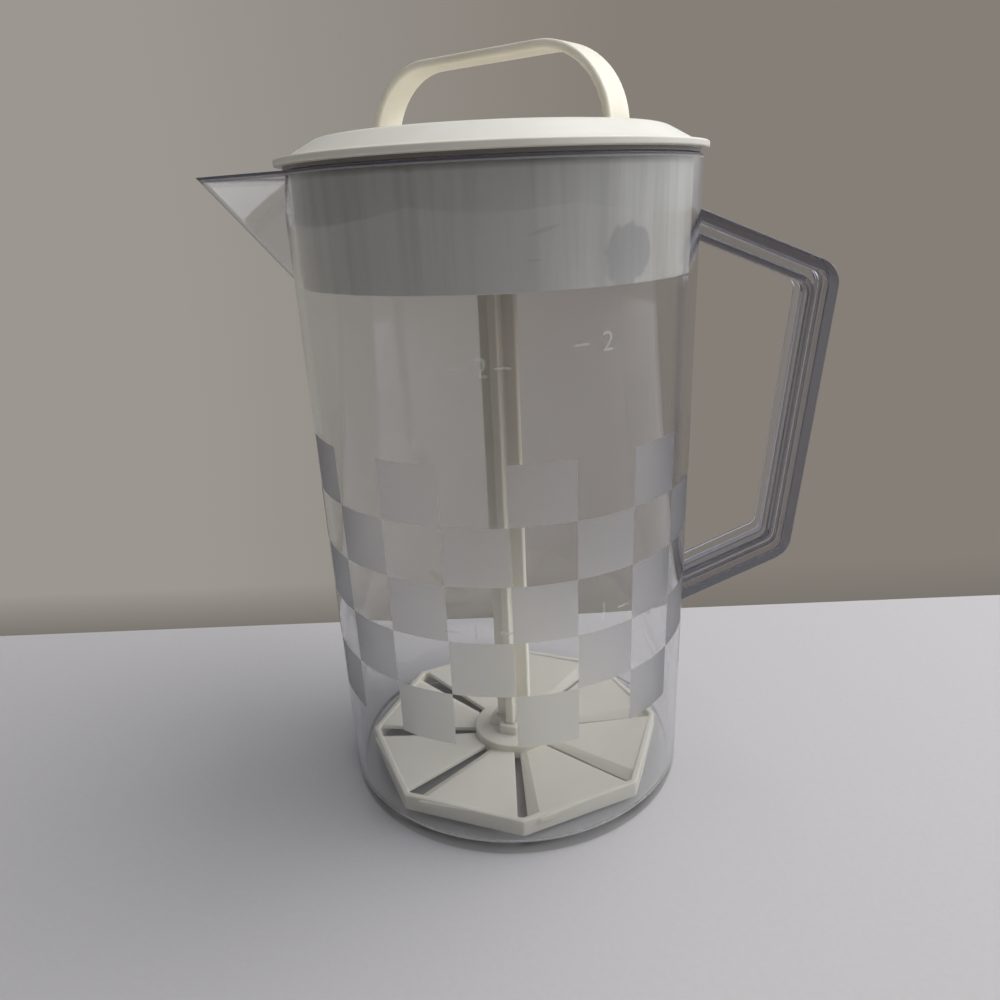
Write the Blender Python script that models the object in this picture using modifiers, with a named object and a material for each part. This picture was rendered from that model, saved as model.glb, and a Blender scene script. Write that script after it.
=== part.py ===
# A quick stir pitcher: a clear spouted jug with a bonded handle, and a lid with a plunger through it.
# The jug's axis is Z and its base stands on Z = 0. The handle points to +X and the spout to -X.
# Lengths are in metres and turns in degrees.

import math

import bmesh
import bpy
from mathutils import Matrix, Vector

# Clearances and working values
gap = 0.0003
overrun = 0.004
weld_distance = gap / 30
turn_steps = 72
arc_steps = 4
sharp_angle = 35.0

# Jug body
rim_radius = 0.066
base_radius = 0.0637
jug_height = 0.219
jug_wall = 0.0025
floor_thickness = 0.003
base_edge_round = 0.003
floor_corner_round = 0.003

# Pouring spout, measured at the rim
spout_reach = 0.0946
spout_half_width = 0.030
spout_depth = 0.0344
spout_nose_round = 0.004
spout_wall = 0.0028
spout_nose_steps = 6
spout_root_share = 1.2
spout_hollow_root_share = 1.1

# Jug handle: the heights of its roots, and the corners of its centre line
upper_root_height = 0.1987
upper_corner_reach = 0.1076
upper_corner_height = 0.1808
lower_corner_reach = 0.0986
lower_corner_height = 0.0861
lower_root_height = 0.0703
upper_arm_depth = 0.0092
grip_depth = 0.0099
lower_arm_depth = 0.0108
handle_width = 0.015
handle_outer_round = 0.009
handle_inner_round = 0.004
handle_outer_rail = 0.0037
handle_inner_rail = 0.0023
handle_web = 0.0034
handle_edge_round = 0.0006

# Lid
seat_height = 0.0012
seat_inset = 0.001
flange_overhang = 0.00165
flange_thickness = 0.002
flange_edge_round = 0.0006
flange_ledge = 0.00325
shoulder_slope = 29.0
shoulder_foot_round = 0.006
crown_round = 0.008
crown_rise = 0.0055
lid_wall = 0.0016
skirt_depth = 0.0336
skirt_gap = 0.0003
well_floor = 0.002

# Plunger handle
disc_inset = 0.0175
disc_radius = rim_radius - disc_inset
disc_edge = 0.0024
disc_dome = 0.0008
disc_edge_round = 0.0005
boss_radius = 0.010
boss_depth = 0.0105
arch_inset = 0.0015
arch_half_span = disc_radius - arch_inset
arch_flat_half = 0.022
arch_rise = 0.0232
arch_sink = 0.0013
arch_width = 0.012
arch_thickness = 0.0026
arch_edge_round = 0.0009
arch_turn = -38.0
arch_curve_steps = 10

# Plunger rod
rod_span = 0.0133
rod_fin = 0.0034
rod_grip = 0.008
rod_turn = -19.0

# Stirring wheel
wheel_radius = 0.058
wheel_sides = 8
wheel_turn = -88.6
frame_height = 0.0065
frame_wall = 0.0025
hub_radius = 0.016
hub_height = 0.0060
collar_height = 0.0035
collar_wall = 0.002
socket_floor = 0.0014
vane_thickness = 0.0018
vane_drop = 0.003
vane_dip = 0.0032
vane_root_drop = 0.001
vane_bite = 0.001
slot_inner = 0.0022
slot_outer = 0.0036

# Heights that the sizes above settle
flange_under = jug_height + gap + seat_height
flange_top = flange_under + flange_thickness
crown_edge = flange_top + crown_rise
disc_under = crown_edge - disc_edge
recess_floor = disc_under - gap
boss_bottom = disc_under - boss_depth
well_top = boss_bottom - gap
well_under = well_top - well_floor
rod_top = boss_bottom + rod_grip
wheel_bottom = floor_thickness + gap
frame_top = wheel_bottom + frame_height
hub_top = wheel_bottom + hub_height
collar_top = hub_top + collar_height
rod_bottom = wheel_bottom + socket_floor + gap


def wall_radius(height):
    """The outer radius of the tapered jug at a height."""
    return base_radius + (rim_radius - base_radius) * height / jug_height


def arc(centre_x, centre_y, radius, start, end, steps):
    """Points on an arc from start to end, both ends included."""
    turns = [math.radians(start + (end - start) * step / steps) for step in range(steps + 1)]
    return [(centre_x + radius * math.cos(turn), centre_y + radius * math.sin(turn)) for turn in turns]


def rounded(corners, radii, steps):
    """The points of an outline whose corners are arcs. A radius of zero keeps the corner."""
    points = []
    for index, (corner, radius) in enumerate(zip(corners, radii)):
        here = Vector(corner)
        before = (Vector(corners[index - 1]) - here).normalized()
        after = (Vector(corners[(index + 1) % len(corners)]) - here).normalized()
        if radius == 0:
            points.append(tuple(here))
            continue
        half = before.angle(after) / 2
        middle = here + (before + after).normalized() * radius / math.sin(half)
        first = here + before * radius / math.tan(half) - middle
        sweep = math.pi - 2 * half
        side = 1 if before.x * after.y - before.y * after.x < 0 else -1
        for step in range(steps + 1):
            spoke = Matrix.Rotation(side * sweep * step / steps, 2) @ first
            points.append(tuple(middle + spoke))
    return points


def collection(name, parent):
    made = bpy.data.collections.new(name)
    parent.children.link(made)
    return made


def material(name, colour, roughness, alpha):
    made = bpy.data.materials.new(name)
    made.use_nodes = True
    shader = made.node_tree.nodes["Principled BSDF"]
    shader.inputs["Base Color"].default_value = (*colour, 1)
    shader.inputs["Roughness"].default_value = roughness
    shader.inputs["Metallic"].default_value = 0
    shader.inputs["Alpha"].default_value = alpha
    return made


def place(name, mesh, home):
    made = bpy.data.objects.new(name, mesh)
    home.objects.link(made)
    return made


def turned(name, profile, home):
    """A solid turned round Z from (radius, height) points that run down its outer side."""
    mesh = bpy.data.meshes.new(name)
    points = [(radius, 0, height) for radius, height in profile]
    mesh.from_pydata(points, [(index, index + 1) for index in range(len(points) - 1)], [])
    made = place(name, mesh, home)
    screw = made.modifiers.new("Turn", "SCREW")
    screw.steps = turn_steps
    screw.render_steps = turn_steps
    screw.use_merge_vertices = True
    screw.merge_threshold = weld_distance
    screw.use_smooth_shade = True
    return made


def flat(name, points, thickness, home):
    """A flat solid of an outline in its own XY plane, half its thickness to each side."""
    curve = bpy.data.curves.new(name, "CURVE")
    curve.dimensions = "2D"
    curve.fill_mode = "BOTH"
    curve.extrude = thickness / 2
    line = curve.splines.new("POLY")
    line.points.add(len(points) - 1)
    for point, (x, y) in zip(line.points, points):
        point.co = (x, y, 0, 1)
    line.use_cyclic_u = True
    guide = place(name + "_outline", curve, home)
    graph = bpy.context.evaluated_depsgraph_get()
    mesh = bpy.data.meshes.new_from_object(guide.evaluated_get(graph))
    bpy.data.objects.remove(guide)
    bpy.data.curves.remove(curve)
    loose = bmesh.new()
    loose.from_mesh(mesh)
    bmesh.ops.remove_doubles(loose, verts=loose.verts, dist=weld_distance)
    bmesh.ops.recalc_face_normals(loose, faces=loose.faces)
    loose.to_mesh(mesh)
    loose.free()
    return place(name, mesh, home)


def hull(name, points, home):
    mesh = bpy.data.meshes.new(name)
    shape = bmesh.new()
    for point in points:
        shape.verts.new(point)
    bmesh.ops.convex_hull(shape, input=shape.verts)
    bmesh.ops.recalc_face_normals(shape, faces=shape.faces)
    shape.to_mesh(mesh)
    shape.free()
    return place(name, mesh, home)


def prism(name, radius, sides, bottom, top, home):
    """An upright primitive cylinder between two heights."""
    bpy.ops.mesh.primitive_cylinder_add(vertices=sides, radius=radius, depth=top - bottom)
    made = bpy.context.object
    made.name = name
    made.location.z = (top + bottom) / 2
    for held in list(made.users_collection):
        held.objects.unlink(made)
    home.objects.link(made)
    return made


def join(body, other, operation):
    """Adds a Boolean to the body and marks the other shape as a cutter."""
    cut = body.modifiers.new(other.name, "BOOLEAN")
    cut.operation = operation
    cut.object = other
    other.hide_render = True
    other.display_type = "WIRE"


def bevel(body, width, segments):
    edge = body.modifiers.new("Edges", "BEVEL")
    edge.width = width
    edge.segments = segments
    edge.limit_method = "ANGLE"


def smooth(body):
    body.data.shade_smooth()
    body.data.set_sharp_from_angle(angle=math.radians(sharp_angle))


def spout_prism(name, inset, bottom_share, home):
    """The spout's V outline at the rim, carried inwards and down along its keel."""
    nose = spout_nose_round - inset
    centre = spout_reach - spout_nose_round
    root_x = math.sqrt(rim_radius**2 - spout_half_width**2)
    span = math.hypot(centre - root_x, spout_half_width)
    flank = math.atan2(spout_half_width, centre - root_x) - math.asin(spout_nose_round / span)
    far = 90 - math.degrees(flank)
    points = arc(-centre, 0, nose, 180 + far, 180 - far, spout_nose_steps)
    run = math.sqrt(span**2 - spout_nose_round**2) + spout_half_width / 2
    tip_x, tip_y = points[-1]
    back_x = tip_x + run * math.cos(flank)
    back_y = tip_y + run * math.sin(flank)
    points += [(back_x, back_y), (back_x, -back_y)]
    depth = spout_depth * bottom_share
    made = flat(name, points, depth + overrun, home)
    keel_run = spout_reach - wall_radius(jug_height - spout_depth)
    lean = Matrix.Identity(4)
    lean[0][2] = -keel_run / spout_depth
    top = overrun if inset else 0
    rise = top - (depth + overrun) / 2
    made.data.transform(lean @ Matrix.Translation((0, 0, rise)))
    made.location.z = jug_height
    return made


def build_jug_body(home, cutters, look):
    edge = base_edge_round
    outer = [(0, jug_height), (rim_radius, jug_height)]
    outer += arc(wall_radius(edge) - edge, edge, edge, 0, -90, arc_steps)
    outer.append((0, 0))
    body = turned("jug_body", outer, home)
    join(body, spout_prism("spout_outside", 0, spout_root_share, cutters), "UNION")

    corner = floor_corner_round
    bottom = floor_thickness
    bore_corner = wall_radius(bottom + corner) - jug_wall - corner
    bore = [(0, jug_height + overrun), (wall_radius(jug_height + overrun) - jug_wall, jug_height + overrun)]
    bore += arc(bore_corner, bottom + corner, corner, 0, -90, arc_steps)
    bore.append((0, bottom))
    join(body, turned("jug_bore", bore, cutters), "DIFFERENCE")
    join(body, spout_prism("spout_inside", spout_wall, spout_hollow_root_share, cutters), "DIFFERENCE")
    body.data.materials.append(look)
    return body


def handle_line(side, inset):
    """One long side of the handle, outer (1) or inner (-1), moved in by the inset."""
    centre = [
        Vector((wall_radius(upper_root_height), upper_root_height)),
        Vector((upper_corner_reach, upper_corner_height)),
        Vector((lower_corner_reach, lower_corner_height)),
        Vector((wall_radius(lower_root_height), lower_root_height)),
    ]
    depths = [upper_arm_depth, grip_depth, lower_arm_depth]
    runs = []
    for start, end, depth in zip(centre, centre[1:], depths):
        along = (end - start).normalized()
        across = Vector((-along.y, along.x)) * side * (depth / 2 - inset)
        runs.append((start + across, along))
    upper_start = runs[0][0] - runs[0][1] * overrun
    lower_end = runs[2][0] + runs[2][1] * ((centre[3] - centre[2]).length + overrun)
    corners = []
    for (first, one), (second, two) in zip(runs, runs[1:]):
        cross = one.x * two.y - one.y * two.x
        apart = second - first
        corners.append(first + one * (apart.x * two.y - apart.y * two.x) / cross)
    return [tuple(point) for point in (upper_start, *corners, lower_end)]


def handle_band(name, insets, rounds, thickness, home):
    """The handle's band in the XZ plane, with its outer and inner sides moved in by the insets."""
    outer = handle_line(1, insets[0])
    inner = handle_line(-1, insets[1])
    radii = [0, rounds[0], rounds[0], 0, 0, rounds[1], rounds[1], 0]
    points = rounded(outer + inner[::-1], radii, arc_steps)
    made = flat(name, points, thickness, home)
    made.data.transform(Matrix.Rotation(math.radians(90), 4, "X"))
    return made


def build_jug_handle(home, cutters, look):
    rounds = (handle_outer_round, handle_inner_round)
    handle = handle_band("jug_handle", (0, 0), rounds, handle_width, home)
    channel_depth = (handle_width - handle_web) / 2
    rails = (handle_outer_rail, handle_inner_rail)
    channel_rounds = (handle_outer_round - handle_outer_rail, handle_inner_round + handle_inner_rail)
    thickness = channel_depth + overrun
    for side, label in ((1, "back"), (-1, "front")):
        channel = handle_band("channel_" + label, rails, channel_rounds, thickness, cutters)
        channel.location.y = side * (handle_web + thickness) / 2
        join(handle, channel, "DIFFERENCE")
    top = jug_height + overrun
    cone = [(0, top), (wall_radius(top) + gap, top), (base_radius + gap, 0), (0, 0)]
    join(handle, turned("jug_wall_clearance", cone, cutters), "DIFFERENCE")
    bevel(handle, handle_edge_round, 1)
    handle.data.materials.append(look)
    return handle


def cross_outline(span, fin):
    """A plus-shaped outline: two corners at each fin's end and one between fins."""
    points = []
    for quarter in range(4):
        turn = Matrix.Rotation(math.radians(90 * quarter), 2)
        for x, y in ((span / 2, -fin / 2), (span / 2, fin / 2), (fin / 2, fin / 2)):
            points.append(tuple(turn @ Vector((x, y))))
    return points


def cross(name, grown, bottom, top, home):
    """The rod's plus-shaped section between two heights, grown all round."""
    made = flat(name, cross_outline(rod_span + 2 * grown, rod_fin + 2 * grown), top - bottom, home)
    made.location.z = (top + bottom) / 2
    made.rotation_euler.z = math.radians(rod_turn)
    return made


def build_lid(home, cutters, look):
    flange_radius = rim_radius + flange_overhang
    foot = flange_radius - flange_ledge
    slope = math.tan(math.radians(shoulder_slope))
    crown_radius = foot - crown_rise / slope
    wall_drop = lid_wall * math.hypot(1, slope)
    recess_radius = disc_radius + gap
    well_radius = boss_radius + gap
    skirt_bottom = jug_height - skirt_depth
    skirt_top_radius = wall_radius(jug_height) - jug_wall - skirt_gap
    skirt_low_radius = wall_radius(skirt_bottom) - jug_wall - skirt_gap
    skirt_inner = skirt_top_radius - lid_wall
    under = recess_floor - lid_wall
    crown_under = crown_edge - lid_wall
    edge = flange_edge_round
    profile = [(0, well_under), (well_radius + lid_wall, well_under), (well_radius + lid_wall, under)]
    profile += [(recess_radius + lid_wall, under), (recess_radius + lid_wall, crown_under)]
    profile += [(foot - (crown_under + wall_drop - flange_top) / slope, crown_under)]
    profile += [(skirt_inner, flange_top + (foot - skirt_inner) * slope - wall_drop)]
    profile += [(skirt_low_radius - lid_wall, skirt_bottom), (skirt_low_radius, skirt_bottom)]
    profile += [(skirt_top_radius, jug_height + gap), (rim_radius - seat_inset, jug_height + gap)]
    profile += [(rim_radius - seat_inset, flange_under)]
    profile += arc(flange_radius - edge, flange_under + edge, edge, -90, 0, arc_steps)
    profile += arc(flange_radius - edge, flange_top - edge, edge, 0, 90, arc_steps)
    shoulder = [(flange_radius - edge, flange_top), (foot, flange_top)]
    shoulder += [(crown_radius, crown_edge), (recess_radius, crown_edge)]
    profile += rounded(shoulder, [0, shoulder_foot_round, crown_round, 0], arc_steps)[1:]
    profile += [(recess_radius, recess_floor), (well_radius, recess_floor)]
    profile += [(well_radius, well_top), (0, well_top)]
    lid = turned("lid", profile[::-1], home)
    join(lid, cross("rod_way", gap, well_under - overrun, well_top + overrun, cutters), "DIFFERENCE")
    lid.data.materials.append(look)
    return lid


def arch_side(outward):
    """One side of the arch's outline from its foot to the end of its flat top: a quarter ellipse."""
    reach = arch_half_span - arch_flat_half - outward
    rise = arch_rise + arch_sink - outward
    foot = crown_edge - arch_sink
    points = []
    for step in range(arch_curve_steps + 1):
        turn = math.pi / 2 * step / arch_curve_steps
        points.append((arch_flat_half + reach * math.cos(turn), foot + rise * math.sin(turn)))
    return points


def build_plunger_handle(home, cutters, look):
    edge = disc_edge_round
    profile = []
    for step in range(arch_curve_steps + 1):
        share = step / arch_curve_steps
        radius = (disc_radius - edge) * share
        profile.append((radius, crown_edge + disc_dome * (1 - share**2)))
    profile += arc(disc_radius - edge, crown_edge - edge, edge, 90, 0, 2)[1:]
    profile += [(disc_radius, disc_under), (boss_radius, disc_under)]
    profile += [(boss_radius, boss_bottom), (0, boss_bottom)]
    handle = turned("plunger_handle", profile, home)

    outer = arch_side(0)
    inner = arch_side(arch_thickness)
    outline = outer + [(-x, z) for x, z in outer[::-1]] + [(-x, z) for x, z in inner] + inner[::-1]
    arch = flat("arch", outline, arch_width, cutters)
    arch.data.transform(Matrix.Rotation(math.radians(90), 4, "X"))
    arch.rotation_euler.z = math.radians(arch_turn)
    bevel(arch, arch_edge_round, 2)
    join(handle, arch, "UNION")
    join(handle, cross("rod_socket", gap, boss_bottom - overrun, rod_top + gap, cutters), "DIFFERENCE")
    handle.data.materials.append(look)
    return handle


def build_plunger_rod(home, look):
    rod = cross("plunger_rod", 0, rod_bottom, rod_top, home)
    rod.data.materials.append(look)
    return rod


def vane_points(index):
    """The corners of a pitched vane: it dips towards the hub, and one long edge lies below the other."""
    start = math.radians(wheel_turn + 360 / wheel_sides * index)
    end = start + 2 * math.pi / wheel_sides
    inner = hub_radius - vane_bite
    reach = wheel_radius - frame_wall
    points = []
    root = frame_top - vane_dip
    low, high = (root - vane_root_drop, frame_top - vane_drop), (root, frame_top)
    for turn, side, (near, far) in ((start, 1, low), (end, -1, high)):
        along = Vector((math.cos(turn), math.sin(turn)))
        across = Vector((-along.y, along.x)) * side / 2
        points += [(*(along * inner + across * slot_inner), near - lift) for lift in (0, vane_thickness)]
        points += [(*(along * reach + across * slot_outer), far - lift) for lift in (0, vane_thickness)]
    return points


def build_stirring_wheel(home, cutters, look):
    wheel = prism("stirring_wheel", wheel_radius, wheel_sides, wheel_bottom, frame_top, home)
    inside = prism("frame_inside", wheel_radius - frame_wall, wheel_sides, 0, frame_top + overrun, cutters)
    for ring in (wheel, inside):
        ring.rotation_euler.z = math.radians(wheel_turn)
    join(wheel, inside, "DIFFERENCE")
    join(wheel, prism("hub", hub_radius, turn_steps // 2, wheel_bottom, hub_top, cutters), "UNION")
    for index in range(wheel_sides):
        join(wheel, hull("vane_" + str(index + 1), vane_points(index), cutters), "UNION")
    seat_bottom = wheel_bottom + socket_floor
    join(wheel, cross("collar", gap + collar_wall, seat_bottom, collar_top, cutters), "UNION")
    join(wheel, cross("rod_seat", gap, seat_bottom, collar_top + overrun, cutters), "DIFFERENCE")
    wheel.data.materials.append(look)
    return wheel


def main():
    for old in list(bpy.data.objects):
        bpy.data.objects.remove(old)
    scene = bpy.context.scene
    parts = collection("quick_stir_pitcher", scene.collection)
    cutters = collection("cutters", scene.collection)
    cutters.hide_render = True

    clear = material("clear_styrene", (0.78, 0.79, 0.80), 0.08, 0.35)
    ivory = material("ivory_polypropylene", (0.80, 0.79, 0.74), 0.35, 1)
    matt_ivory = material("matt_ivory_polypropylene", (0.74, 0.73, 0.67), 0.5, 1)

    round_pieces = [build_jug_body(parts, cutters, clear), build_lid(parts, cutters, ivory)]
    round_pieces.append(build_plunger_handle(parts, cutters, ivory))
    for piece in round_pieces:
        smooth(piece)
    build_jug_handle(parts, cutters, clear)
    build_plunger_rod(parts, matt_ivory)
    build_stirring_wheel(parts, cutters, matt_ivory)


main()
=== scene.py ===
import math

import bmesh
import bpy
from mathutils import Matrix, Vector


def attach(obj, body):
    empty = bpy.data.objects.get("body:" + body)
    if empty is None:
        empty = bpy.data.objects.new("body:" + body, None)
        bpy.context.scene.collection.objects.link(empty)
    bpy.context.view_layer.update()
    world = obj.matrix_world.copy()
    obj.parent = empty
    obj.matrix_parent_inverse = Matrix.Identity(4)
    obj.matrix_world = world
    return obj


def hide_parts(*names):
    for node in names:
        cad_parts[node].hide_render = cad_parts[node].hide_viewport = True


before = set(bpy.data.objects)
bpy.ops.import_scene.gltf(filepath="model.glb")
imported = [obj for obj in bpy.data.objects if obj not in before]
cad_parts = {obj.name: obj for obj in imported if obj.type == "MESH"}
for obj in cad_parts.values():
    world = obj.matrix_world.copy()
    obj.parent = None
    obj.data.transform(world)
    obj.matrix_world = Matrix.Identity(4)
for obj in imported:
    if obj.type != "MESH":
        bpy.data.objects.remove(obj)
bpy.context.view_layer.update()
print("frame loaded:", ", ".join(sorted(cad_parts)))

# The quick stir pitcher: a clear jug, a lid with a deep skirt and a plunger that runs through it.
# Lengths are in metres, turns in degrees. The jug's axis is Z, the handle points to +X.

gap = 0.0003  # clearance between mouldings that slide or are pushed together
overrun = 0.004  # how far a cutting shape reaches past what it cuts
weld = dict(turned=0.00001, cut=0.00002, mark=0.000005)  # points closer than this become one

jug = dict(
    rimRadius=0.066, baseRadius=0.0637, height=0.219, wall=0.0025, floor=0.003,
    baseEdge=0.0012, floorCorner=0.003, rimEdge=0.0005, boreTop=0.002,
    steps=240, rows=36, rimSteps=4, baseSteps=12, cornerSteps=10,
)
spout = dict(
    reach=0.0946, halfWidth=0.030, depth=0.0344, noseRound=0.0055, wall=0.0028,
    noseSteps=20, rootShare=1.2, hollowRootShare=1.1, lipRound=0.0011, lipSteps=6, lipFrom=0.0006,
)


def wallRadius(height):
    return jug["baseRadius"] + (jug["rimRadius"] - jug["baseRadius"]) * height / jug["height"]


def arcPoints(centreX, centreY, radius, start, end, steps):
    turns = [math.radians(start + (end - start) * step / steps) for step in range(steps + 1)]
    return [(centreX + radius * math.cos(turn), centreY + radius * math.sin(turn)) for turn in turns]


def rounded(corners, radii, steps):
    # the points of a closed outline whose corners are arcs; a radius of 0 keeps the corner
    points = []
    for index, (corner, radius) in enumerate(zip(corners, radii)):
        here = Vector(corner)
        before = (Vector(corners[index - 1]) - here).normalized()
        after = (Vector(corners[(index + 1) % len(corners)]) - here).normalized()
        if radius == 0:
            points.append(tuple(here))
            continue
        half = before.angle(after) / 2
        middle = here + (before + after).normalized() * radius / math.sin(half)
        first = here + before * radius / math.tan(half) - middle
        sweep = math.pi - 2 * half
        side = 1 if before.x * after.y - before.y * after.x < 0 else -1
        points += [tuple(middle + Matrix.Rotation(side * sweep * step / steps, 2) @ first)
                   for step in range(steps + 1)]
    return points


def lathe(profile, steps):
    # (radius, height) points turned round Z into a closed body
    turned = bmesh.new()
    line = [turned.verts.new((radius, 0, height)) for radius, height in profile]
    for first, second in zip(line, line[1:]):
        turned.edges.new((first, second))
    bmesh.ops.spin(turned, geom=turned.verts[:] + turned.edges[:], cent=(0, 0, 0), axis=(0, 0, 1),
                   angle=math.tau, steps=steps, use_merge=True)
    bmesh.ops.remove_doubles(turned, verts=turned.verts, dist=weld["turned"])
    bmesh.ops.recalc_face_normals(turned, faces=turned.faces)
    return turned


def slab(outline, offset, place):
    # a flat outline in XY, pushed by the offset vector into a solid and then put in its place
    block = bmesh.new()
    face = block.faces.new([block.verts.new((x, y, 0)) for x, y in outline])
    grown = bmesh.ops.extrude_face_region(block, geom=[face])
    moved = [item for item in grown["geom"] if isinstance(item, bmesh.types.BMVert)]
    bmesh.ops.translate(block, verts=moved, vec=offset)
    bmesh.ops.recalc_face_normals(block, faces=block.faces)
    bmesh.ops.transform(block, matrix=place, verts=block.verts)
    return block


def softenEdges(shape, width, segments, least, chosen=None):
    # rounds the edges that turn more than the least angle, or those of them that are chosen
    sharp = [edge for edge in shape.edges if len(edge.link_faces) == 2
             and edge.calc_face_angle(0) > math.radians(least) and (chosen is None or chosen(edge))]
    bmesh.ops.bevel(shape, geom=sharp, offset=width, segments=segments, profile=0.5,
                    affect="EDGES", material=-1, clamp_overlap=True)


def newObject(name, shape):
    mesh = bpy.data.meshes.new(name)
    shape.to_mesh(mesh)
    shape.free()
    made = bpy.data.objects.new(name, mesh)
    bpy.context.scene.collection.objects.link(made)
    return made


def combine(piece, shape, operation):
    # one Boolean, applied at once
    other = newObject("cutter", shape)
    cut = piece.modifiers.new("Cut", "BOOLEAN")
    cut.operation, cut.object, cut.solver = operation, other, "EXACT"
    graph = bpy.context.evaluated_depsgraph_get()
    piece.data = bpy.data.meshes.new_from_object(piece.evaluated_get(graph))
    piece.modifiers.clear()
    bpy.data.objects.remove(other)


def finishPiece(piece, body, node, look, sharp=32):
    # smooth faces with crisp edges, then the piece takes its place in the frame
    piece.data.name = piece.name
    piece.data.materials.clear()
    piece.data.materials.append(look)
    piece.data.shade_smooth()
    piece.data.set_sharp_from_angle(angle=math.radians(sharp))
    even = piece.modifiers.new("EvenNormals", "WEIGHTED_NORMAL")
    even.keep_sharp = True
    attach(piece, body)
    if node:
        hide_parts(node)
    print("made", piece.name, "with", len(piece.data.polygons), "faces")
    return piece


def colour(hexCode):
    # sRGB hex to linear
    channels = [int(hexCode[start:start + 2], 16) / 255 for start in (1, 3, 5)]
    return tuple(c / 12.92 if c <= 0.04045 else ((c + 0.055) / 1.055) ** 2.4 for c in channels) + (1.0,)


def addNode(tree, kind, inputs=(), **settings):
    # one node with its settings; an input is a value, a socket, or a node whose first live output is linked
    node = tree.nodes.new("ShaderNode" + kind)
    for name, value in settings.items():
        setattr(node, name, value)
    pairs = inputs.items() if isinstance(inputs, dict) else enumerate(inputs)
    for place, value in pairs:
        if isinstance(value, bpy.types.Node):
            value = next(output for output in value.outputs if output.enabled)
        if isinstance(value, bpy.types.NodeSocket):
            tree.links.new(value, node.inputs[place])
        else:
            node.inputs[place].default_value = value
    return node


def emptyMaterial(name):
    look = bpy.data.materials.new(name)
    look.use_nodes = True
    look.node_tree.nodes.clear()
    return look, look.node_tree


# Below, a grain is the size of one spot in metres, and a bump says how tall a pattern is beside the others.
# The etched and the moulded grain are finer than 0.1 mm in life, and drawn at 0.5 mm so that they show.
clear = dict(
    body="#fcfcfc", ior=1.57, polish=0.012, shadow="#f3f4f5",
    haze="#e2e0d9", hazeWhite=0.02, hazeGrain=0.035, hazeRange=(0.5, 0.75), hazePolish=0.05,
    etch="#d8d8e6", frost=0.5, frostWhite=0.09, frostGrain=0.0005, frostBump=1.1, frostSink=-0.35,
    frostShadow="#e4e3e1", farFrost=0.3, cloudRoughness=0.6,
    lip="#4d4d5c", lipTall=0.0013, lipShare=0.72,
    baseScuff=0.5, scuffHeights=(0.0004, 0.0002),
    flowGrain=0.03, bumpStrength=0.25, bumpDistance=0.0004,
    jugDepth="#b2b2bc", jugDensity=56.0, jugFlow=0.25,
    handleDepth="#a5a7b8", handleDensity=120.0, handleFlow=0.04,
    bandFoot=0.044, rowHeight=0.019, rows=5, columns=20, firstColumn=-89.4,
)


def etchedSquares(tree, place, x, y, z):
    # 1 on every second square of the band on the outer wall, 0 elsewhere
    turn = addNode(tree, "Math", (y, x), operation="ARCTAN2")
    column = addNode(tree, "Math", (turn, clear["columns"] / math.tau,
                                    -clear["firstColumn"] * clear["columns"] / 360), operation="MULTIPLY_ADD")
    column = addNode(tree, "Math", (column,), operation="FLOOR")
    level = addNode(tree, "Math", (z, 1 / clear["rowHeight"], -clear["bandFoot"] / clear["rowHeight"]),
                    operation="MULTIPLY_ADD")
    row = addNode(tree, "Math", (level,), operation="FLOOR")
    both = addNode(tree, "Math", (column, row), operation="ADD")
    odd = addNode(tree, "Math", (both, 1.0), operation="PINGPONG")
    even = addNode(tree, "Math", (1.0, odd), operation="SUBTRACT")
    above = addNode(tree, "Math", (level, 0.0), operation="GREATER_THAN")
    below = addNode(tree, "Math", (level, float(clear["rows"])), operation="LESS_THAN")
    # the outer half of the tapered wall
    flat = addNode(tree, "CombineXYZ", (x, y, 0.0))
    distance = addNode(tree, "VectorMath", (flat,), operation="LENGTH")
    taper = (jug["rimRadius"] - jug["baseRadius"]) / jug["height"]
    middle = addNode(tree, "Math", (z, taper, jug["baseRadius"] - jug["wall"] / 2), operation="MULTIPLY_ADD")
    outer = addNode(tree, "Math", (distance, middle), operation="GREATER_THAN")
    # seen from within the plastic, on the far wall, the etched face scatters little
    behind = addNode(tree, "NewGeometry").outputs["Backfacing"]
    etched = addNode(tree, "MapRange", (behind, 0.0, 1.0, 1.0, clear["farFrost"]))
    for share in (even, above, below, outer):
        etched = addNode(tree, "Math", (etched, share), operation="MULTIPLY")
    return etched


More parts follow.
